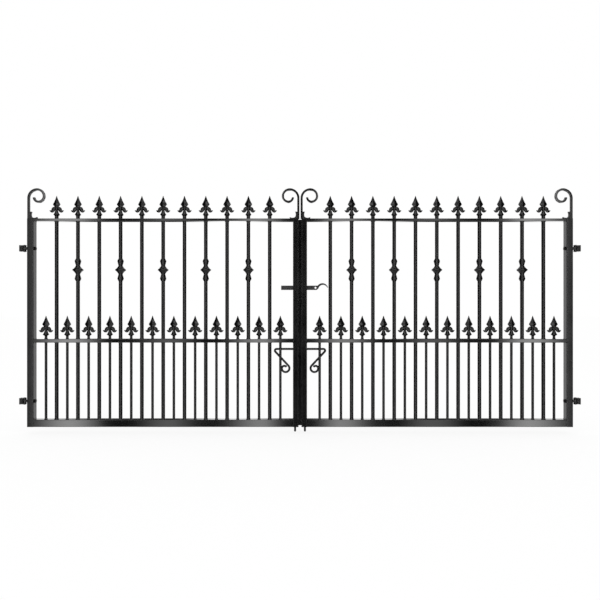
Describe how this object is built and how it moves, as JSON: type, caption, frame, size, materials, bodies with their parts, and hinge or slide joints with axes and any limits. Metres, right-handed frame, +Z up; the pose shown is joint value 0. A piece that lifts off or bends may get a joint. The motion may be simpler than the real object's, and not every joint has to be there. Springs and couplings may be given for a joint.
{
  "type": "double-leaf driveway gate",
  "caption": "Black wrought iron double driveway gate with spear-topped round bars, turned collars, crook scrolls, drop bolts and a thumb latch; both leaves swing inwards on pin hinges.",
  "frame": {"origin": "middle of the welded face of the lower left hinge bracket", "axes": "X along the closed gate from left to right, Y from the road side to the back, Z up"},
  "size_m": [3.05, 0.0804, 1.3315],
  "materials": {
    "black_paint": "gloss black paint on steel tube and bar",
    "black_casting": "gloss black paint on cast and forged pieces",
    "black_fitting": "satin black paint on hinges, bolts and latch"
  },
  "bodies": {
    "hinge_brackets": {"left_lower_bracket": "black_fitting", "left_upper_bracket": "black_fitting", "left_hinge_pins": "black_fitting", "right_lower_bracket": "black_fitting", "right_upper_bracket": "black_fitting", "right_hinge_pins": "black_fitting"},
    "left_leaf": {"left_hinge_stile": "black_paint", "left_meeting_stile": "black_paint", "left_stile_caps": "black_paint", "left_bottom_rail": "black_paint", "left_mid_rail": "black_paint", "left_top_rail": "black_paint", "left_tall_bars": "black_paint", "left_short_bars": "black_paint", "left_tall_spears": "black_casting", "left_short_spears": "black_casting", "left_collars": "black_casting", "left_scrolls": "black_paint", "left_scroll_feet": "black_casting", "left_hinge_eyes": "black_fitting", "left_hinge_nuts": "black_fitting", "left_bolt_guides": "black_fitting", "latch_catch": "black_fitting"},
    "right_leaf": {"right_hinge_stile": "black_paint", "right_meeting_stile": "black_paint", "right_stile_caps": "black_paint", "right_bottom_rail": "black_paint", "right_mid_rail": "black_paint", "right_top_rail": "black_paint", "right_tall_bars": "black_paint", "right_short_bars": "black_paint", "right_tall_spears": "black_casting", "right_short_spears": "black_casting", "right_collars": "black_casting", "right_scrolls": "black_paint", "right_scroll_feet": "black_casting", "right_hinge_eyes": "black_fitting", "right_hinge_nuts": "black_fitting", "right_bolt_guides": "black_fitting", "meeting_strip": "black_paint", "strip_packer": "black_paint", "latch_pivot": "black_fitting"},
    "left_bolt": {"left_drop_bolt": "black_fitting"},
    "right_bolt": {"right_drop_bolt": "black_fitting"},
    "latch": {"latch_lever": "black_fitting"}
  },
  "joints": [
    {"name": "left_leaf_swing", "type": "hinge", "parent": "hinge_brackets", "child": "left_leaf", "pos_m": [0.025, 0, 0], "axis": [0, 0, 1], "range_deg": [0, 90]},
    {"name": "right_leaf_swing", "type": "hinge", "parent": "hinge_brackets", "child": "right_leaf", "pos_m": [3.025, 0, 0], "axis": [0, 0, -1], "range_deg": [0, 90]},
    {"name": "left_bolt_lift", "type": "slide", "parent": "left_leaf", "child": "left_bolt", "axis": [0, 0, 1], "range_m": [0, 0.12]},
    {"name": "right_bolt_lift", "type": "slide", "parent": "right_leaf", "child": "right_bolt", "axis": [0, 0, 1], "range_m": [0, 0.12]},
    {"name": "latch_lift", "type": "hinge", "parent": "right_leaf", "child": "latch", "pos_m": [1.552, 0.038, 0.618], "axis": [0, 1, 0], "range_deg": [0, 35]}
  ]
}
